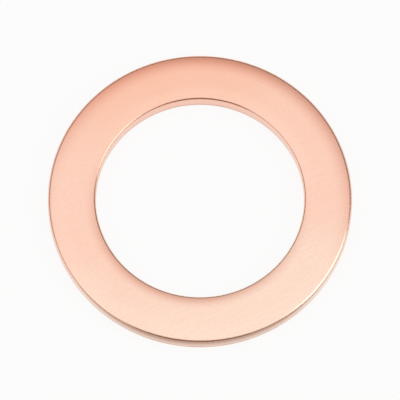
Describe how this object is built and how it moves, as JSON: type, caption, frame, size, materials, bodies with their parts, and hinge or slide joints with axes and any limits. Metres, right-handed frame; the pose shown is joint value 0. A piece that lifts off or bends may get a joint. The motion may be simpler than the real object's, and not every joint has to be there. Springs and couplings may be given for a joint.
{
  "type": "crush washer",
  "caption": "Flat ring of soft copper with a round bore and softly rolled upper edges, squeezed under a banjo bolt or a plug to seal the joint.",
  "frame": {"origin": "centre of the bore, on the lower face", "axes": "+Z along the bore's axis, out of the face with the rolled edges; X and Y lie in the lower face"},
  "size_m": [0.0148, 0.0148, 0.001],
  "materials": {
    "copper": "tumbled satin copper"
  },
  "bodies": {
    "root": {"copper_washer": "copper"}
  },
  "joints": []
}
